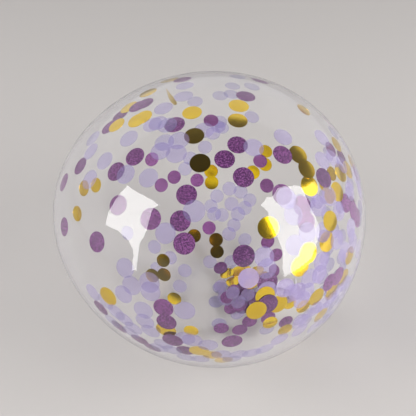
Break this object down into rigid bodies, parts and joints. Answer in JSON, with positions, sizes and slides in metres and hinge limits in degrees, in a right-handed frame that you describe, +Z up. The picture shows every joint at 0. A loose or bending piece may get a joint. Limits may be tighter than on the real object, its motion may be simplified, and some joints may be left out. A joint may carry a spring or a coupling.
{
  "type": "confetti balloon",
  "caption": "Inflated clear latex party balloon with round tissue and foil confetti inside, knotted neck and rolled-lip tail, lying on a table.",
  "frame": {"origin": "on the table, in the middle of the flat spot under the body", "axes": "+Z up through the crown, +X to the side the neck leans to, +Y away from the viewer of the picture"},
  "size_m": [0.2702, 0.27, 0.2499],
  "materials": {
    "clear_latex": "clear glossy latex film, slightly milky",
    "purple_tissue": "mottled purple tissue",
    "lavender_tissue": "thin lavender tissue, translucent",
    "gold_foil": "bright gold metallised foil"
  },
  "bodies": {
    "root": {"latex_balloon": "clear_latex"}
  },
  "joints": []
}
